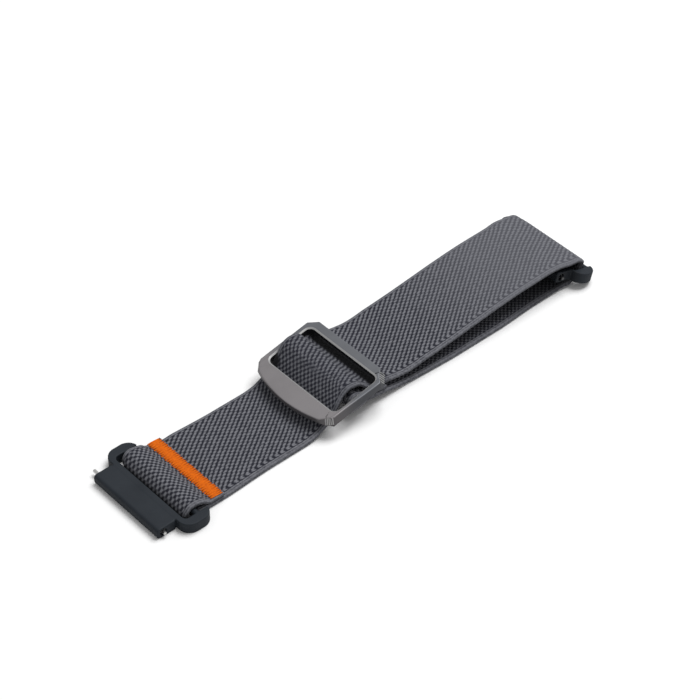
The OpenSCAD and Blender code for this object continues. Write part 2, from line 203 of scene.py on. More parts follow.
def fabric(name, dark, light, painted_light_grey, far_range, hump_range):
    """Broken twill ribs on the face, staggered dots on the back and smooth cords along the selvedges, with
    painted light and painted shade at some places.
    """
    n = Nodes(name)
    black = (0.003, 0.003, 0.005)
    split = n.new("ShaderNodeSeparateXYZ")
    n.put(n.attribute("weave").outputs["Vector"], split.inputs[0])
    s, y, back = split.outputs
    fuzz = n.noise(1300, 3, 0.6)
    grain = n.noise(2300, 3, 0.6)
    fold = half_w - CHEVRON
    mirrored = n.math("SUBTRACT", n.math("ABSOLUTE", n.math("ADD", y, fold)), fold)
    column = n.math("DIVIDE", mirrored, COLUMN)
    middle = n.math("MULTIPLY", n.math("ADD", n.math("FLOOR", column), 0.5), COLUMN)
    place = n.math("ADD", n.math("MULTIPLY", mirrored, 1 - LEAN), n.math("MULTIPLY", middle, LEAN))
    wander = n.math("MULTIPLY", n.math("SUBTRACT", fuzz, 0.5), 0.35)
    turn = n.math("SUBTRACT", n.math("MULTIPLY", s, RIBS_S), n.math("MULTIPLY", place, RIBS_Y))
    wave = n.math("COSINE", n.math("MULTIPLY", n.math("ADD", turn, wander), 2 * math.pi))
    rib = n.math("SUBTRACT", 0.5, n.math("MULTIPLY", wave, 0.5))
    bead = n.math("SINE", n.math("MULTIPLY", n.math("FRACT", column), math.pi))
    face = n.math("MULTIPLY", rib, n.math("ADD", n.math("MULTIPLY", bead, 0.5), 0.5))
    wave_s = n.math("COSINE", n.math("MULTIPLY", s, 2 * math.pi * DOTS_S))
    wave_y = n.math("COSINE", n.math("MULTIPLY", y, 2 * math.pi * DOTS_Y))
    dots = n.math("ADD", n.math("MULTIPLY", n.math("MULTIPLY", wave_s, wave_y), 0.5), 0.5)
    dots = n.spread(dots, 0.22, 0.95, 0, 1)
    front = n.math("SUBTRACT", 1.0, back)
    woven = n.math("ADD", n.math("MULTIPLY", face, front), n.math("MULTIPLY", dots, back))
    edge = n.math("SUBTRACT", n.math("ABSOLUTE", y), half_w - SELVEDGE)
    cords = n.math("ABSOLUTE", n.math("SINE", n.math("MULTIPLY", edge, math.pi / CORD)))
    smooth_edge = n.math("ADD", n.math("MULTIPLY", cords, 0.35), 0.38)
    on_edge = n.spread(edge, -0.02, 0.06, 0, 1)
    seam = n.spread(n.math("ABSOLUTE", n.math("ADD", edge, 0.08)), 0.0, 0.16, 0.25, 1)
    height = n.math("ADD", n.math("MULTIPLY", woven, n.math("SUBTRACT", 1.0, on_edge)),
                    n.math("MULTIPLY", smooth_edge, on_edge))
    rough = n.math("ADD", n.math("MULTIPLY", n.math("SUBTRACT", fuzz, 0.5), 0.55),
                   n.math("MULTIPLY", n.math("SUBTRACT", grain, 0.5), 1.1))
    tone = n.math("MULTIPLY", n.math("ADD", height, rough), seam)
    colour = n.blend(n.spread(tone, 0.12, 0.85, 0, 1), dark, light)
    # Painted light: the face is lighter towards the far end
    painted_light_at_far_end = n.math("MULTIPLY", n.spread(s, far_range[0], far_range[1], 0, 1, smooth=True),
                        n.spread(s, far_range[2], far_range[3], 1, 0, smooth=True))
    colour = n.blend(n.math("MULTIPLY", n.math("MULTIPLY", painted_light_at_far_end, front), 0.45), colour, painted_light_grey)
    # Painted shade: a little darker on the hump in the slider's window
    painted_shade_on_hump = n.math("MULTIPLY", n.spread(s, hump_range[0], hump_range[0] + HUMP_FADE, 0, 1, smooth=True),
                     n.spread(s, hump_range[1] - HUMP_FADE, hump_range[1], 1, 0, smooth=True))
    colour = n.blend(n.math("MULTIPLY", painted_shade_on_hump, 0.2), colour, dark)
    # Painted shade: blended towards near black by the shade attribute
    colour = n.blend(n.attribute("shade").outputs["Fac"], colour, black)
    n.shader.inputs["Specular IOR Level"].default_value = 0.25
    n.shader.inputs["Sheen Weight"].default_value = 0.06
    return n.finish(Base_Color=colour, Roughness=0.9,
                    Normal=n.bump(n.math("ADD", height, n.math("MULTIPLY", fuzz, 0.2)), 0.00010, 0.6))


TWIST = 0.45 * MM


def thread(name, low, high):
    """Twisted thread, with painted shade at its ends."""
    n = Nodes(name)
    split = n.new("ShaderNodeSeparateXYZ")
    n.put(n.place(), split.inputs[0])
    slant = n.math("ADD", split.outputs[0], n.math("MULTIPLY", split.outputs[1], 0.6))
    twist = n.math("SINE", n.math("MULTIPLY", slant, 2 * math.pi / TWIST))
    fuzz = n.noise(2500, 3, 0.6)
    tone = n.math("ADD", n.math("MULTIPLY", twist, 0.2), fuzz)
    tip = n.attribute("tip").outputs["Fac"]
    colour = n.blend(n.spread(tone, 0.2, 0.8, 0, 1), low, high)
    # Painted shade at the ends of each stitch
    colour = n.blend(n.math("MULTIPLY", tip, 0.6), colour, tuple(0.5 * c for c in low))
    n.shader.inputs["Specular IOR Level"].default_value = 0.15
    return n.finish(Base_Color=colour, Roughness=0.75, Normal=n.bump(tone, 0.00005, 0.5))


# Sizes of the CAD model, in millimetres
web_w = 21.4
web_t = 1.2
layer_gap = 0.1
wrap_gap = 0.05
bore_setback = 1.7
block_l = 4.8
block_h = 2.6
bar_d = 1.4
near_ring_l = 7.8
near_bar_inset = 2.2
far_ring_l = 6.1
flap_l = 8.2
tack_l = 3.5
tack_t = 0.25
tack_inset = 0.3
tail_l = 8.9
slider_x = 53.6
slider_z = 4.4
slider_tilt = 11
window_half = 6.4
front_bar_l = 3.1
rear_bar_l = 2.3
rail_inner = 11.35
rail_outer = 12.75
front_chamfer = 1.4
rear_chamfer = 2.0
front_bow = 2.0
front_drop = 0.2
bar_t = 1.5
rail_h = 2.1
window_r = 1.5
lug_half = 2
lug_t = 0.8
lug_play = 0.25
lug_drop = 0.25
centre_bar_d = 1.5
top_over_bar = 2.85
loop_l = 71.6
far_z = 1.77
far_droop = 17
upper_low = 3.75
end_stitch_l = 2.0
end_stitch_t = 0.15

half_w = web_w / 2
block_rear = block_l - bore_setback
bar_x = block_rear + near_ring_l - near_bar_inset - bar_d / 2
far_end = block_rear + far_ring_l
bar_z = web_t + wrap_gap + bar_d / 2
front_edge = -window_half - front_bar_l
rear_edge = window_half + rear_bar_l
ring_h = bar_z + bar_d / 2
near_wrap_r = bar_d / 2 + wrap_gap + web_t / 2
end_wrap_r = centre_bar_d / 2 + wrap_gap + web_t / 2
hump_r = end_wrap_r + web_t + layer_gap
far_x = slider_x + loop_l


def turned(p, degrees):
    a = math.radians(degrees)
    return np.array([p[0] * math.cos(a) - p[1] * math.sin(a), p[0] * math.sin(a) + p[1] * math.cos(a)])


def arc(centre, r, a0, a1, n):
    angles = [math.radians(a0 + (a1 - a0) * i / n) for i in range(n + 1)]
    return [np.array(centre) + r * np.array([math.cos(a), math.sin(a)]) for a in angles]


def on_slider(u, w):
    return np.array([slider_x, slider_z]) + turned((u, w), slider_tilt)


def on_far(x, z):
    return np.array([far_x, far_z]) + turned((x - far_end, z - ring_h / 2), -far_droop)


# The middle line of the whole webbing, as in the CAD model
table_line = web_t / 2
flap_line = table_line + web_t + layer_gap / 2
flap_end = bar_x + flap_l
under_front = window_half + 0.4
fall_l = 20
fall_steps = 6
fall_h = slider_z - end_wrap_r - table_line
upper_from = slider_x + 14.4
upper_to = far_x - 15
upper_high = far_z + 5.03
tail_lift = web_t + layer_gap


def upper_at(f):
    return (upper_from + (upper_to - upper_from) * f,
            upper_low + (upper_high - upper_low) * (1 - math.cos(math.pi * f)) / 2)


def fall_z(d):
    return table_line + fall_h * (1 + math.cos(math.pi * min(1, d / fall_l))) / 2


flap_route = [(flap_end, flap_line), (flap_end - tack_l - 0.2, flap_line), (bar_x + 2.9, flap_line + 0.75),
              (bar_x + 1.4, bar_z + near_wrap_r - 0.16)]
near_wrap = arc((bar_x, bar_z), near_wrap_r, 90, 270, 9)
climb_from = slider_x - 16.6
near_table = [(bar_x + 2.2, table_line), (flap_end, table_line), ((flap_end + climb_from) / 2, table_line),
              (climb_from, table_line)]
climb = [(slider_x - 13, table_line + 0.12), (slider_x - 10.2, table_line + 0.65),
         (slider_x - 8.1, table_line + 1.65), on_slider(-under_front, 0.3)]
hump = arc((slider_x, slider_z), hump_r, 110 + slider_tilt, 62 + slider_tilt, 4)
behind_slider = [on_slider(4.5, 0.75), on_slider(window_half + 1.4, -0.95),
                 (slider_x + 10.9, upper_low + 0.5)]
upper = [upper_at(i / 6) for i in range(7)]
block_top = block_h + web_t / 2
over_block = [on_far(-bore_setback + 0.3, block_top + 0.2), on_far(block_rear - 1.6, block_top + 0.7),
              on_far(block_rear + 1.8, block_top + 0.65), on_far(block_rear + 2.75, block_top - 0.1)]
through_slot = [on_far(block_rear + 2.95, 1.9), on_far(block_rear + 2.4, 0.75)]
under_block = [(far_x - 5.7, table_line + 0.72), (far_x - 8, table_line + 0.38),
               (far_x - 11.5, table_line + 0.2), (far_x - 15.5, table_line + 0.06), (far_x - 21, table_line)]
lower_flat = [(slider_x + fall_l + 8, table_line)]
fall = [(slider_x + fall_l * i / fall_steps, fall_z(fall_l * i / fall_steps))
        for i in range(fall_steps, 0, -1)]
end_wrap = arc((slider_x, slider_z), end_wrap_r, 270, 50, 9)
tail = [(slider_x + d, fall_z(d) + tail_lift + 0.04) for d in (4.4, 6.4, tail_l)]
stretches = [flap_route, near_wrap, near_table, climb, hump, behind_slider, upper, over_block, through_slot,
             under_block, lower_flat, fall, end_wrap, tail]
route = [np.array(p, float) for stretch in stretches for p in stretch]

at_near_run = len(flap_route) + len(near_wrap) + 1
at_climb = at_near_run + 3
at_hump = at_climb + 2
at_upper = at_climb + len(climb) + len(hump) + 2
at_fold = at_upper + len(upper)
at_lower = at_fold + len(over_block) + len(through_slot) + 4
at_sewn_end = at_lower + len(lower_flat) + 1 + 3
at_end = len(route) - 1


def unit(v):
    return v / np.linalg.norm(v)


def heading_at(i):
    if i == 0:
        return unit(route[1] - route[0])
    if i == at_end:
        return unit(route[i] - route[i - 1])
    before, after = route[i] - route[i - 1], route[i + 1] - route[i]
    a, b = np.linalg.norm(before), np.linalg.norm(after)
    if abs(before[1]) < 0.001:
        return unit(before)
    if abs(after[1]) < 0.001:
        return unit(after)
    return (before * b / a + after * a / b) / (a + b)


def along(i, s):
    d = np.linalg.norm(route[i + 1] - route[i])
    m0, m1 = heading_at(i) * d, heading_at(i + 1) * d
    place = (route[i] * (2 * s**3 - 3 * s**2 + 1) + m0 * (s**3 - 2 * s**2 + s)
             + route[i + 1] * (3 * s**2 - 2 * s**3) + m1 * (s**3 - s**2))
    way = (route[i] * (6 * s**2 - 6 * s) + m0 * (3 * s**2 - 4 * s + 1)
           + route[i + 1] * (6 * s - 6 * s**2) + m1 * (3 * s**2 - 2 * s))
    return place, unit(way)


def smooth_line(i0, i1, step):
    """Places, headings and run lengths along the route from point i0 to i1, about step apart."""
    places, ways = [], []
    for i in range(i0, i1):
        n = max(2, math.ceil(np.linalg.norm(route[i + 1] - route[i]) / step))
        for k in range(n):
            place, way = along(i, k / n)
            places.append(place)
            ways.append(way)
    place, way = along(i1 - 1, 1)
    places.append(place)
    ways.append(way)
    places = np.array(places)
    run = np.concatenate([[0], np.cumsum(np.linalg.norm(np.diff(places, axis=0), axis=1))])
    return places, np.array(ways), run


ROUTE_STEP = 0.22


def start_of(i0):
    """The run length at which the route reaches its point i0."""
    return smooth_line(0, i0, ROUTE_STEP)[2][-1] if i0 else 0.0


EDGE_R = 0.52
EDGE_STEPS = 5
FACE_STEP = 0.24


def cross_section():
    """Rows of (y, height, share of the relief, back) once round the webbing, in millimetres."""
    flat = half_w - EDGE_R
    count = round(2 * flat / FACE_STEP)
    half = web_t / 2 - 0.05
    rows = [(-flat + 2 * flat * i / count, half, 1.0, 0.0) for i in range(count + 1)]
    for i in range(1, EDGE_STEPS):
        a = math.pi / 2 - math.pi * i / EDGE_STEPS
        rows.append((flat + EDGE_R * math.cos(a), half * math.sin(a), 0.0, 0.0 if a > 0 else 1.0))
    rows += [(flat - 2 * flat * i / count, -half, 1.0, 1.0) for i in range(count + 1)]
    for i in range(1, EDGE_STEPS):
        a = -math.pi / 2 - math.pi * i / EDGE_STEPS
        rows.append((-flat + EDGE_R * math.cos(a), half * math.sin(a), 0.0, 1.0 if a > -math.pi else 0.0))
    return np.array(rows)


def relief(s, y, back):
    """Height of the weave over the webbing's flat sides, in millimetres."""
    fold = half_w - CHEVRON
    mirrored = np.abs(y + fold) - fold
    face = -np.cos(2 * math.pi * (RIBS_S * s - RIBS_Y * mirrored))
    dots = np.cos(2 * math.pi * DOTS_S * s) * np.cos(2 * math.pi * DOTS_Y * y)
    woven = 0.035 * dots * back + 0.03 * face * (1 - back)
    inside = np.clip((half_w - SELVEDGE - np.abs(y)) / 0.2, 0, 1)
    return woven * inside


def ease(value, low, high):
    """A smooth step from 0 at low to 1 at high."""
    f = np.clip((value - low) / (high - low), 0, 1)
    return f * f * (3 - 2 * f)


def placed(x, y, z, name):
    """Where a point of the webbing lies, which is soft and departs a little from the even band."""
    if name in ("near_flap", "near_run", "tack"):
        # Wide in the near ring, pressed flat under the bar tack, and slack in front of the ring's bar
        at_ring = 1 - ease(x, 16, 30)
        slack = np.clip(bar_x - x, 0, None) * (1 - ease(z, 1.2, 3.4)) * (1 - 0.8 * ease(y, 8.5, half_w))
        pressed = ease(x, 11.0, 12.8) * (1 - ease(x, 16.6, 19.5))
        y = y * (1 + 0.045 * at_ring)
        x = x - 0.5 * slack
        z = z * (1 - 0.17 * pressed)
    if name in ("near_run", "slider_hump", "upper_run"):
        # Moved over to the slider's +Y rail, a hump in the window, and lower behind the centre bar
        y = y + 0.3 * ease(x, 40, 46) * (1 - ease(x, 64, 72))
        crest = ease(x, 47.0, 51.5) * (1 - ease(x, 57.5, 61.5))
        swell = ease(x, 48.0, 51.5) * (1 - ease(x, 55.0, 58.5))
        z = z + (0.9 + 0.9 * ease(y, -2, half_w)) * swell
        z = z - 0.6 * ease(x, 55.0, 58.0) * (1 - ease(x, 58.5, 63.8))
        z = z + 0.5 * ease(x, 47.2, 49.0) * (1 - ease(x, 51.0, 54.5))
        # Drawn in from the -Y rail on the hump, and narrower before it and wider behind it at the +Y rail
        y = y + 0.6 * crest * ease(-y, 2, half_w)
        y = y - 0.2 * ease(x, 44.5, 47.0) * (1 - ease(x, 48.6, 50.2)) * ease(y, 5, half_w)
        y = y + 0.8 * ease(x, 56.8, 59.5) * (1 - ease(x, 61.0, 63.5)) * ease(y, 6, half_w)
        z = z + 0.5 * ease(y, 9.4, half_w + 0.2) * ease(x, 57.2, 58.6) * (1 - ease(x, 60.4, 62.0))
    if name == "upper_run":
        z = z + 0.45 * ease(x, 66, 76)
    if name == "far_fold":
        # Bulged over the far connector, and wider at both edges
        upper_side = ease(z, 2.5, 5.0)
        z = z + 0.45 * upper_side * (1 - ease(x, 112, 120))
        over_bar = ease(z, 3.6, 5.0) * ease(x, 114, 122)
        x = x + 0.9 * over_bar
        z = z + 0.3 * (1 - ease(y, 6.5, half_w + 0.2)) * over_bar
        y = y + 0.6 * upper_side * ease(x, 112, 117) * ease(y, 5, half_w)
        y = y - 0.45 * ease(x, 116, 119.5) * ease(-y, 6, half_w)
    if name == "lower_run":
        y = y - 0.5 * ease(x, 69, 84) * (1 - ease(x, 96, 109))
    if name != "slider_sewn_end":
        y = y * 1.01 + 0.12 * (1 - ease(x, 110, 118)) * ease(z, 0, 1)
    return x, y, z


def shading(x, y, z, back, name):
    """Painted shade on the webbing: how dark it is in the near ring, in one window corner, under the rear
    bar and in the loop.
    """
    if name in ("far_fold", "lower_run"):
        return 0.6 * back * ease(x, 96, 114)
    if name in ("near_flap", "near_run"):
        in_ring = 0.75 * (1 - ease(z, 1.0, 3.3)) * (1 - ease(x, bar_x - 0.5, bar_x + 1.5))
    else:
        in_ring = 0 * x
    if name in ("near_run", "slider_hump", "upper_run"):
        u = (x - slider_x) / math.cos(math.radians(slider_tilt))
        past_corner = ease(u + 0.55 * (half_w - y), -4.4, -3.8)
        in_corner = 0.97 * ease(u, -8.0, -7.0) * (1 - past_corner) * ease(y, 8.0, 9.2)
        under_bar = 0.95 * ease(u, 4.7, 5.5) * (1 - ease(u, rear_edge - 0.6, rear_edge + 0.4))
        return np.maximum(in_ring, np.maximum(in_corner, under_bar))
    return in_ring


def webbing(name, i0, i1, material):
    """A closed ribbon along the route from point i0 to i1, with the weave's relief on both sides."""
    places, ways, run = smooth_line(i0, i1, ROUTE_STEP)
    run = run + start_of(i0)
    rows = cross_section()
    normals = np.stack([-ways[:, 1], ways[:, 0]], 1)
    s, y = np.meshgrid(run, rows[:, 0], indexing="ij")
    dotted = 1 - ease(s, *dotted_range) if name == "slider_hump" else 0 * s
    back = np.maximum(np.broadcast_to(rows[None, :, 3], s.shape), dotted)
    height = rows[None, :, 1] + np.sign(rows[None, :, 1]) * rows[None, :, 2] * relief(s, y, back)
    x = places[:, None, 0] + normals[:, None, 0] * height
    z = places[:, None, 1] + normals[:, None, 1] * height
    corners = np.stack(placed(x, y, z, name), 2).reshape(-1, 3) * MM
    n, m = s.shape
    index = np.arange(n * m).reshape(n, m)
    a, b = index[:-1], index[1:]
    quads = np.stack([a, np.roll(a, -1, 1), np.roll(b, -1, 1), b], 2).reshape(-1, 4)
    caps = [list(range(n * m, n * m + m)), list(range(n * m + m, n * m + 2 * m))[::-1]]
    ends = np.concatenate([corners[:m], corners[-m:]])
    mesh = bpy.data.meshes.new("webbing_" + name)
    mesh.from_pydata(np.concatenate([corners, ends]).tolist(), [], quads.tolist() + caps)
    weave = np.stack([s, y, back], 2).reshape(-1, 3)
    weave = np.concatenate([weave, weave[:m], weave[-m:]])
    weave = weave.astype(np.float32).ravel()
    mesh.attributes.new("weave", "FLOAT_VECTOR", "POINT").data.foreach_set("vector", weave)
    shade = shading(x, y, z, back, name).ravel()
    shade = np.concatenate([shade, shade[:m], shade[-m:]])
    mesh.attributes.new("shade", "FLOAT", "POINT").data.foreach_set("value", shade.astype(np.float32))
    mesh.polygons.foreach_set("use_smooth", [True] * len(quads) + [False, False])
    mesh.materials.append(material)
    mesh.update()
    return add("webbing_" + name, mesh)


def add(name, mesh):
    piece = bpy.data.objects.new(name, mesh)
    scene.collection.objects.link(piece)
    return piece


hump_range = (start_of(at_hump), start_of(at_upper))
dotted_range = (hump_range[0] + 5.0, hump_range[0] + 9.5)
far_range = (start_of(at_upper + 2), start_of(at_fold), start_of(at_fold + 3), start_of(at_fold + 4))
web_material = fabric("elastic_weave", (0.012, 0.013, 0.022), (0.182, 0.185, 0.206), (0.145, 0.148, 0.167),
                      far_range, hump_range)
pieces = {}
for name, i0, i1 in (("near_flap", 0, at_near_run), ("near_run", at_near_run, at_hump),
                     ("slider_hump", at_hump, at_upper), ("upper_run", at_upper, at_fold),
                     ("far_fold", at_fold, at_lower), ("lower_run", at_lower, at_sewn_end),
                     ("slider_sewn_end", at_sewn_end, at_end)):
    pieces[name] = webbing(name, i0, i1, web_material)
    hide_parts(name)


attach(pieces["near_flap"], "near_strap")
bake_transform(pieces["near_run"])
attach(pieces["slider_hump"], "slider")
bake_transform(pieces["upper_run"])
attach(pieces["far_fold"], "far_loop")
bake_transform(pieces["lower_run"])
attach(pieces["slider_sewn_end"], "slider")


# Stitching
THREAD_SEED = 7
THREAD_PITCH = 0.3
THREAD_STEPS = 9
THREAD_SIDES = 8
stitch_half = half_w - tack_inset - 0.1


def stitching(name, place, slope, length, height, material):
    """Threads side by side across the webbing, laid in a tight zigzag."""
    rng = np.random.default_rng(THREAD_SEED)
    corners, quads, tips = [], [], []
    for k in range(round(2 * stitch_half / THREAD_PITCH)):
        y0 = -stitch_half + THREAD_PITCH * (k + 0.5)
        lean = THREAD_PITCH * 0.5 * (1 if k % 2 else -1)
        start, end = rng.uniform(0, 0.28, 2)
        width = THREAD_PITCH * rng.uniform(0.58, 0.7)
        lift = height * rng.uniform(0.86, 1.0)
        base = len(corners)
        for i in range(THREAD_STEPS + 1):
            f = i / THREAD_STEPS
            arch = math.sin(math.pi * f) ** 0.35
            u = start + (length - start - end) * f
            breadth = width * (0.75 + 0.25 * arch)
            for j in range(THREAD_SIDES):
                a = 2 * math.pi * j / THREAD_SIDES
                p = turned((u, lift * arch * (0.5 + 0.5 * math.sin(a))), slope)
                y = y0 + lean * (f - 0.5) + breadth * math.cos(a)
                corners.append((place[0] + p[0], y, place[1] + p[1]))
                tips.append(abs(2 * f - 1) ** 5)
        for i in range(THREAD_STEPS):
            ring = base + i * THREAD_SIDES
            for j in range(THREAD_SIDES):
                a, b = ring + j, ring + (j + 1) % THREAD_SIDES
                quads.append((a, b, b + THREAD_SIDES, a + THREAD_SIDES))
        quads.append(tuple(base + j for j in range(THREAD_SIDES))[::-1])
        quads.append(tuple(base + THREAD_STEPS * THREAD_SIDES + j for j in range(THREAD_SIDES)))
    mesh = bpy.data.meshes.new(name)
    mesh.from_pydata((np.array(corners) * MM).tolist(), [], quads)
    mesh.attributes.new("tip", "FLOAT", "POINT").data.foreach_set("value", tips)
    mesh.polygons.foreach_set("use_smooth", [True] * len(quads))
    mesh.materials.append(material)
    mesh.update()
    return add(name, mesh)


tack_place = (flap_end - tack_l, flap_line + web_t / 2 - 0.02)
orange = thread("orange_thread", (0.50, 0.085, 0.0015), (0.86, 0.175, 0.002))
tack = stitching("orange_zigzag", tack_place, 0, tack_l, tack_t, orange)
for corner in tack.data.vertices:
    corner.co = Vector(placed(*(corner.co / MM), "tack")) * MM
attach(tack, "near_strap")
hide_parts("orange_bar_tack")

stitch_to = tail_l - 0.4
stitch_x = stitch_to - end_stitch_l
stitch_slope = math.degrees(math.atan2(fall_z(stitch_to) - fall_z(stitch_x), end_stitch_l))
stitch_offset = turned((0, -web_t / 2 - end_stitch_t + 0.02), stitch_slope)
stitch_place = (slider_x + stitch_x + stitch_offset[0], fall_z(stitch_x) + stitch_offset[1])
grey = thread("grey_thread", (0.02, 0.02, 0.025), (0.11, 0.11, 0.12))
end_stitch = stitching("grey_zigzag", stitch_place, stitch_slope, end_stitch_l, end_stitch_t, grey)
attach(end_stitch, "slider")
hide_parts("slider_end_stitching")

# Connectors: the moulded bodies with softly rounded edges
VOXEL = 0.12 * MM
SOFTENING = 14


def evaluated(piece):
    """The mesh that a piece's modifiers make."""
    graph = bpy.context.evaluated_depsgraph_get()
    return bpy.data.meshes.new_from_object(piece.evaluated_get(graph))


def moulding(name, node_name, own_frame, darkness, material):
    """A connector's body, whose block gets painted shade as dark as darkness says."""
    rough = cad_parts[node_name].data.copy()
    rough.transform(own_frame.inverted())
    piece = add(name, rough)
    remesh = piece.modifiers.new("remesh", "REMESH")
    remesh.mode = "VOXEL"
    remesh.voxel_size = VOXEL
    soft = piece.modifiers.new("soft", "SMOOTH")
    soft.factor = 0.5
    soft.iterations = SOFTENING
    mesh = evaluated(piece)
    piece.modifiers.clear()
    # Painted shade on the block, fading out behind its rear
    shade = [float(darkness * (1 - ease(v.co.x / MM, block_rear, block_rear + 1.5))) for v in mesh.vertices]
    mesh.attributes.new("shade", "FLOAT", "POINT").data.foreach_set("value", shade)
    mesh.transform(own_frame)
    mesh.polygons.foreach_set("use_smooth", [True] * len(mesh.polygons))
    mesh.materials.clear()
    mesh.materials.append(material)
    piece.data = mesh
    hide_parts(node_name)
    return piece


body_plastic = plastic()
far_frame = (Matrix.Translation(Vector((far_x, 0, far_z)) * MM)
             @ Matrix.Rotation(math.radians(far_droop), 4, "Y")
             @ Matrix.Translation(Vector((-far_end, 0, -ring_h / 2)) * MM))
near_moulding = moulding("near_connector_moulding", "near_connector_body", Matrix(), 0, body_plastic)
# The far block gets painted shade, for the shadow under the far fold
far_moulding = moulding("far_connector_moulding", "far_connector_body", far_frame, 0.6, body_plastic)
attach(near_moulding, "near_connector")
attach(far_moulding, "far_connector")


# Slider: the casting with a polished chamfer round its window, soft outer edges and knurled corners. The
# corners are told apart by their signs along and across the strap, and the fourth one has no slope.
CORNER_STEPS = 8
SIDE_STEPS = 16
WINDOW_CHAMFER = 0.36
CHAMFER_DEPTH = 0.28
EDGE_R_TOP = 0.2
EDGE_R_LOW = 0.14
SIDE_SLOPE = 0.5
RIDGES = 5
RIDGE_R = 0.15
RIDGE_SIDES = 8
SHARP = math.radians(30)
CORNER_SLOPES = {(-1, -1): 0.9, (-1, 1): 0.4, (1, -1): 0.9}


def corner_cut(su, sv):
    """Where the outer outline reaches and leaves its cut corner at the signs su and sv."""
    across, cut = (front_edge, front_chamfer) if su < 0 else (rear_edge, rear_chamfer)
    end = np.array((across, sv * (rail_outer - cut)))
    rail = np.array((across - su * cut, sv * rail_outer))
    return (end, rail) if su * sv > 0 else (rail, end)


def slider_outlines():
    """The window's edge, its outward ways, the outer edge and its slope, point for point once round."""
    corners = [(-1, -1, 180), (1, -1, 270), (1, 1, 0), (-1, 1, 90)]
    window, outward, outer, slopes = [], [], [], []
    for k, (su, sv, start) in enumerate(corners):
        centre = np.array((su * (window_half - window_r), sv * (rail_inner - window_r)))
        arrive, leave = corner_cut(su, sv)
        for i in range(CORNER_STEPS + 1):
            f = i / CORNER_STEPS
            a = math.radians(start + 90 * f)
            way = np.array((math.cos(a), math.sin(a)))
            outward.append(way)
            window.append(centre + window_r * way)
            outer.append(arrive * (1 - f) + leave * f)
            slopes.append(CORNER_SLOPES.get((su, sv), 0))
        next_su, next_sv, _ = corners[(k + 1) % 4]
        next_centre = np.array((next_su * (window_half - window_r), next_sv * (rail_inner - window_r)))
        straight = next_centre - centre
        reach = corner_cut(next_su, next_sv)[0]
        from_here = window[-1]
        for i in range(1, SIDE_STEPS):
            f = i / SIDE_STEPS
            window.append(from_here + straight * f)
            outward.append(way)
            point = leave * (1 - f) + reach * f
            if su < 0 and next_su < 0:
                point[0] -= front_bow * (1 - (point[1] / reach[1]) ** 2)
            outer.append(point)
            on_rail = ease(-point[1], rail_inner, rail_outer - 0.2)
            slopes.append(SIDE_SLOPE * on_rail * (1 - ease(point[0], -7, 7)))
    return np.array(window), np.array(outward), np.array(outer), np.array(slopes)


def slider_top(u):
    """The height of the casting's top, which falls a little over the front bar."""
    fall = np.clip((-window_half - u) / (front_bar_l + front_bow), 0, 1)
    return top_over_bar - front_drop * fall


def slider_low(points):
    """The height of the casting's underside, which is lower under the rails than under the bars."""
    u, v = points[:, 0], np.abs(points[:, 1])
    middle = ease(u, front_edge + 0.1, front_edge + 1.5) * (1 - ease(u, rear_edge - 1.5, rear_edge - 0.1))
    return slider_top(u) - bar_t - (rail_h - bar_t) * middle * ease(v, rail_inner - 1.5, rail_inner - 0.1)


def slider_rows():
    """Loops round the slider's section, from the window's wall over the top and down the outside."""
    window, outward, outer, slopes = slider_outlines()
    way = np.roll(outer, -1, 0) - np.roll(outer, 1, 0)
    away = np.stack([way[:, 1], -way[:, 0]], 1) / np.linalg.norm(way, axis=1)[:, None]
    rim = outer - away * slopes[:, None]
    bend = math.sqrt(0.5)
    low_in, low_out = slider_low(window), slider_low(outer)

    def over_window(offset, drop):
        points = window + outward * offset
        return points, slider_top(points[:, 0]) - drop

    def over_rim(inset, drop):
        points = rim - away * inset
        return points, slider_top(points[:, 0]) - drop

    return [
        (window + outward * EDGE_R_LOW, low_in),
        (window, low_in + EDGE_R_LOW),
        over_window(0, CHAMFER_DEPTH),
        over_window(WINDOW_CHAMFER, 0),
        over_window(WINDOW_CHAMFER + 0.08, 0),
        over_rim(EDGE_R_TOP + 0.1, 0),
        over_rim(EDGE_R_TOP, 0),
        over_rim(EDGE_R_TOP * (1 - bend), EDGE_R_TOP * (1 - bend)),
        over_rim(0, EDGE_R_TOP),
        (outer, low_out + EDGE_R_LOW),
        (outer - away * EDGE_R_LOW, low_out),
    ]


# Places in the list that slider_rows() returns
WALL_ROW = 1
CHAMFER_ROW = 2
OUTSIDE_ROWS = (8, 9, 10)


def ridge(bm, polish, low, high):
    """A thin rod that leans from the point low to the point high."""
    bottom, top = [], []
    for x, y in circle(0, 0, RIDGE_R, RIDGE_SIDES):
        bottom.append(bm.verts.new(Vector((low[0] + x, low[1] + y, low[2])) * MM))
        top.append(bm.verts.new(Vector((high[0] + x, high[1] + y, high[2])) * MM))
    faces = [bm.faces.new(bottom[::-1]), bm.faces.new(top)]
    for j in range(RIDGE_SIDES):
        after = (j + 1) % RIDGE_SIDES
        faces.append(bm.faces.new((bottom[j], bottom[after], top[after], top[j])))
    for face in faces:
        face[polish] = 0.8


def crosswise(bm, outline, v0, v1):
    """A closed prism along Y over a side outline."""
    near = [bm.verts.new(Vector((u, v0, w)) * MM) for u, w in outline]
    far = [bm.verts.new(Vector((u, v1, w)) * MM) for u, w in outline]
    bm.faces.new(near[::-1])
    bm.faces.new(far)
    for j in range(len(outline)):
        after = (j + 1) % len(outline)
        bm.faces.new((near[j], near[after], far[after], far[j]))


def circle(x, y, r, sides):
    return [(x + r * math.cos(2 * math.pi * j / sides), y + r * math.sin(2 * math.pi * j / sides))
            for j in range(sides)]


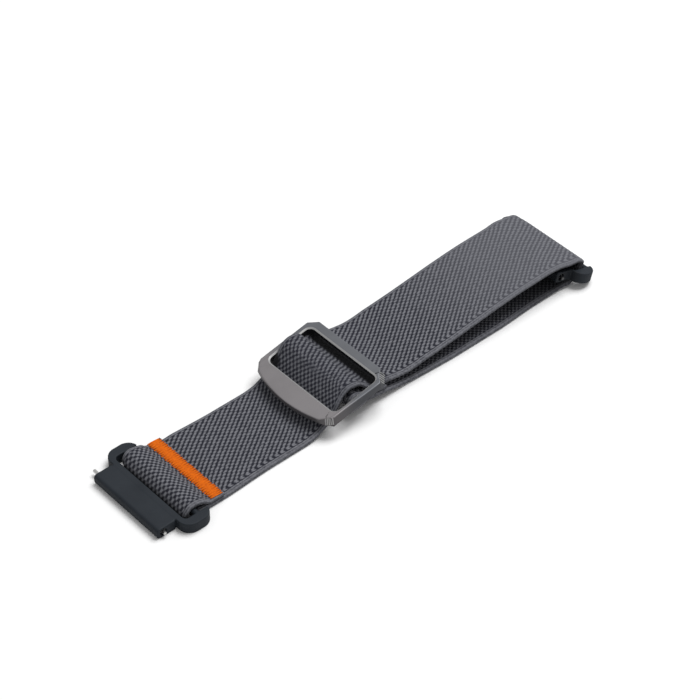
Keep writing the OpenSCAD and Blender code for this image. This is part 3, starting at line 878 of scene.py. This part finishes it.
def casting(name, node_name, own_frame, material):
    """The slider in one piece: the frame round the window, the centre bar with its lugs, and the ridges."""
    bm = bmesh.new()
    polish = bm.faces.layers.float.new("polish")
    painted_wall_shade = bm.faces.layers.float.new("painted_wall_shade")
    rows = [[bm.verts.new(Vector((u, v, w)) * MM) for (u, v), w in zip(points, heights)]
            for points, heights in slider_rows()]
    for k, row in enumerate(rows):
        following = rows[(k + 1) % len(rows)]
        for j in range(len(row)):
            after = (j + 1) % len(row)
            face = bm.faces.new((row[j], row[after], following[after], following[j]))
            face[polish] = 1.0 if k == CHAMFER_ROW else 0.0
            # Painted shade: full on the window's wall, half on the outer sides and lower edge
            face[painted_wall_shade] = 1.0 if k == WALL_ROW else 0.5 if k in OUTSIDE_ROWS else 0.0
    lug_low = -centre_bar_d / 2 - lug_drop
    lug_high = top_over_bar - rail_h + 0.5
    lug = [(-lug_half, lug_low), (lug_half, lug_low), (lug_half + 1, lug_high), (-lug_half - 1, lug_high)]
    lug_at = half_w + lug_play
    for side in (-1, 1):
        crosswise(bm, lug, side * lug_at, side * (lug_at + lug_t))
    crosswise(bm, circle(0, 0, centre_bar_d / 2, 24), -lug_at - lug_t / 2, lug_at + lug_t / 2)
    for (su, sv), slope in CORNER_SLOPES.items():
        a, b = corner_cut(su, sv)
        inward = -np.array((su, sv)) * math.sqrt(0.5)
        for k in range(RIDGES):
            f = (k + 0.5) / RIDGES
            foot = a * (1 - f) + b * f
            top = slider_top(foot[0])
            low = (*(foot + inward * 0.1), top - bar_t + EDGE_R_LOW)
            high = (*(foot + inward * slope), top - EDGE_R_TOP)
            ridge(bm, polish, low, high)
    bmesh.ops.recalc_face_normals(bm, faces=bm.faces)
    # Painted light: the share of the lighter, warmer front grey at each corner
    front = [float(1 - ease(v.co.x / MM, -window_half - 0.2, 0.5)) for v in bm.verts]
    bm.transform(own_frame)
    mesh = bpy.data.meshes.new(name)
    bm.to_mesh(mesh)
    bm.free()
    mesh.attributes.new("front", "FLOAT", "POINT").data.foreach_set("value", front)
    mesh.polygons.foreach_set("use_smooth", [True] * len(mesh.polygons))
    mesh.set_sharp_from_angle(angle=SHARP)
    mesh.materials.append(material)
    mesh.update()
    piece = add(name, mesh)
    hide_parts(node_name)
    return piece


slider_frame = Matrix.Translation(Vector((slider_x, 0, slider_z)) * MM) @ Matrix.Rotation(
    -math.radians(slider_tilt), 4, "Y")
# Painted light: the front bar's grey is lighter and warmer than the rear's
rear_shaded_grey, front_lit_grey, bright_grey = (0.151, 0.157, 0.172), (0.246, 0.233, 0.240), (0.5, 0.5, 0.5)
buckle_metal = metal("titanium_grey_metal", rear_shaded_grey, front_lit_grey, bright_grey, 0.5)
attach(casting("slider_casting", "slider_frame", slider_frame, buckle_metal), "slider")

# Spring bars, pins and levers keep the CAD model's shape. The far plain pin gets a darker steel, painted
# shade for its place under the far fold.
pin_steel = steel("turned_steel", (0.74, 0.74, 0.73))
painted_shade_steel = steel("painted_shade_steel", (0.12, 0.12, 0.12))
for name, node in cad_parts.items():
    if any(word in name for word in ("spring_bar", "pin", "lever")):
        for holder in node.material_slots:
            holder.link = "OBJECT"
            holder.material = painted_shade_steel if name == "far_plain_pin" else pin_steel

# Floor, light and background
strap_middle = (0.06, 0, 0)
bpy.ops.mesh.primitive_plane_add(size=6, location=strap_middle)
floor = bpy.context.object
floor.name = "floor"
floor_nodes = Nodes("pale_floor")
seen = floor_nodes.new("ShaderNodeLightPath").outputs["Is Camera Ray"]
floor_colour = floor_nodes.blend(seen, (0.72, 0.72, 0.72), (1.0, 1.0, 1.0))
floor_nodes.shader.inputs["Specular IOR Level"].default_value = 0.0
floor.data.materials.append(floor_nodes.finish(Base_Color=floor_colour, Roughness=0.9))

world = bpy.data.worlds.new("world")
scene.world = world
world.use_nodes = True
world_tree = world.node_tree
background = world_tree.nodes["Background"]
background.inputs["Color"].default_value = (1, 1, 1, 1)
background.inputs["Strength"].default_value = 0.45


key_place = Vector((0.40, -0.02, 0.83))
key = bpy.data.lights.new("key", "AREA")
key.shape = "DISK"
key.size = 0.6
key.energy = 6.3
key_holder = bpy.data.objects.new("key", key)
scene.collection.objects.link(key_holder)
key_holder.location = key_place
key_holder.rotation_euler = (Vector(strap_middle) - key_place).to_track_quat("-Z", "Y").to_euler()
